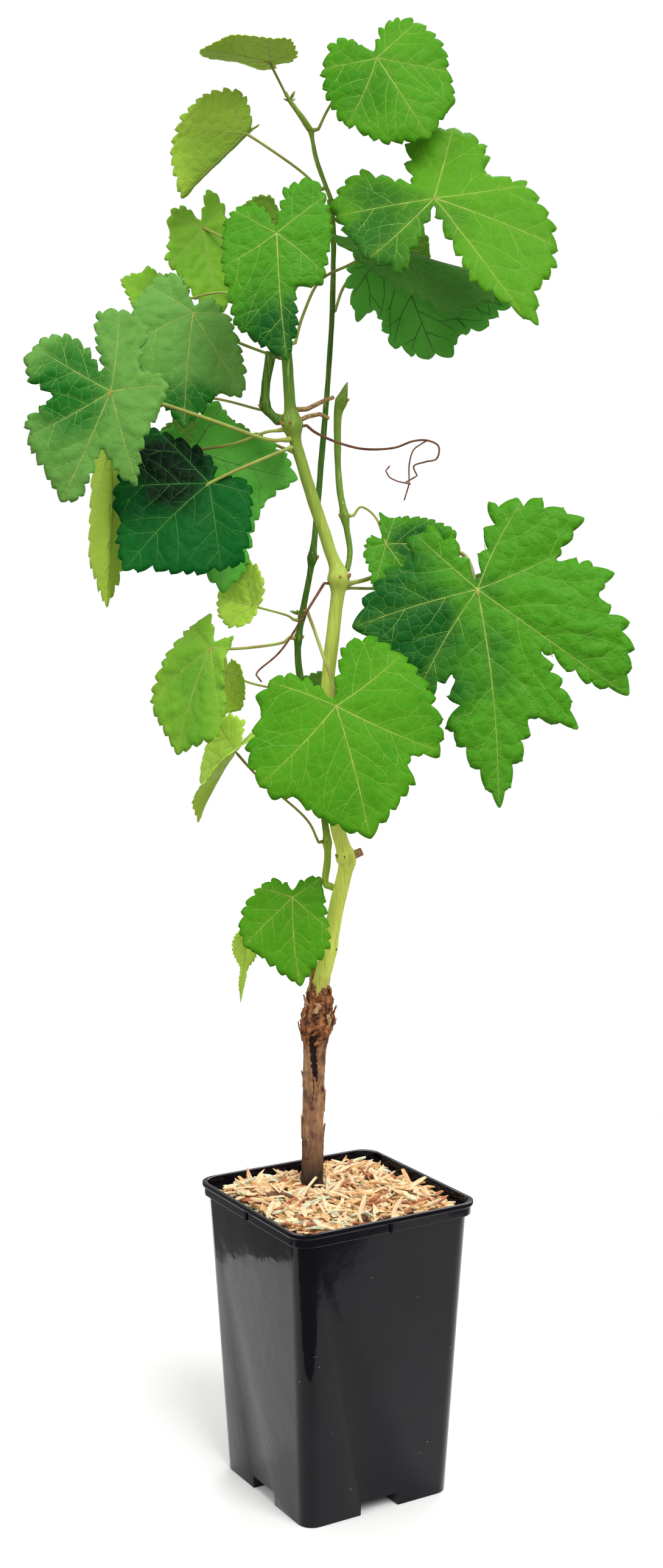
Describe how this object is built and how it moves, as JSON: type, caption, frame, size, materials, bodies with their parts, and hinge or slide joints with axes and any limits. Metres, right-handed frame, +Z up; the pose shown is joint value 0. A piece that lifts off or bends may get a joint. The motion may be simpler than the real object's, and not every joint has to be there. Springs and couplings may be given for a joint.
{
  "type": "potted grapevine",
  "caption": "Young grafted grapevine with a green cane, side shoots, lobed leaves and tendrils, standing in a square black plastic pot filled with potting mix and wood chips.",
  "frame": {"origin": "middle of the pot's flat underside", "axes": "+Z up along the vine, +X and +Y along the pot's sides"},
  "size_m": [0.3163, 0.2342, 0.9207],
  "materials": {
    "black_plastic": "moulded black polypropylene, semi-gloss",
    "wood_chips": "dry loose wood chips over potting mix",
    "bark": "dark flaking bark",
    "green_cane": "smooth green shoot, satin",
    "leaf": "veined green leaf, satin",
    "tendril": "thin dry tendril, matte"
  },
  "bodies": {
    "root": {"pot": "black_plastic", "filling": "wood_chips", "trunk": "bark", "main_cane": "green_cane", "long_shoot": "green_cane", "tip_shoot": "green_cane", "right_shoot": "green_cane", "spur": "green_cane", "long_tendril": "tendril", "low_tendril": "tendril", "leaf_top_left": "leaf", "leaf_top_right": "leaf", "leaf_high_left": "leaf", "leaf_high_right": "leaf", "leaf_high_right_folded": "leaf", "leaf_centre_upper": "leaf", "leaf_left_pale": "leaf", "leaf_left_small": "leaf", "leaf_left_grey": "leaf", "leaf_far_left": "leaf", "leaf_far_left_hanging": "leaf", "leaf_left_dark": "leaf", "leaf_left_behind": "leaf", "leaf_mid_pale": "leaf", "leaf_mid_left": "leaf", "leaf_mid_left_edge": "leaf", "leaf_low_edge": "leaf", "leaf_centre_heart": "leaf", "leaf_right_small": "leaf", "leaf_right_large": "leaf", "leaf_low_left": "leaf", "leaf_low_tiny": "leaf", "leaf_back_low": "leaf", "leaf_back_left": "leaf", "leaf_back_right": "leaf", "leaf_back_top": "leaf", "leaf_back_right_low": "leaf"}
  },
  "joints": []
}
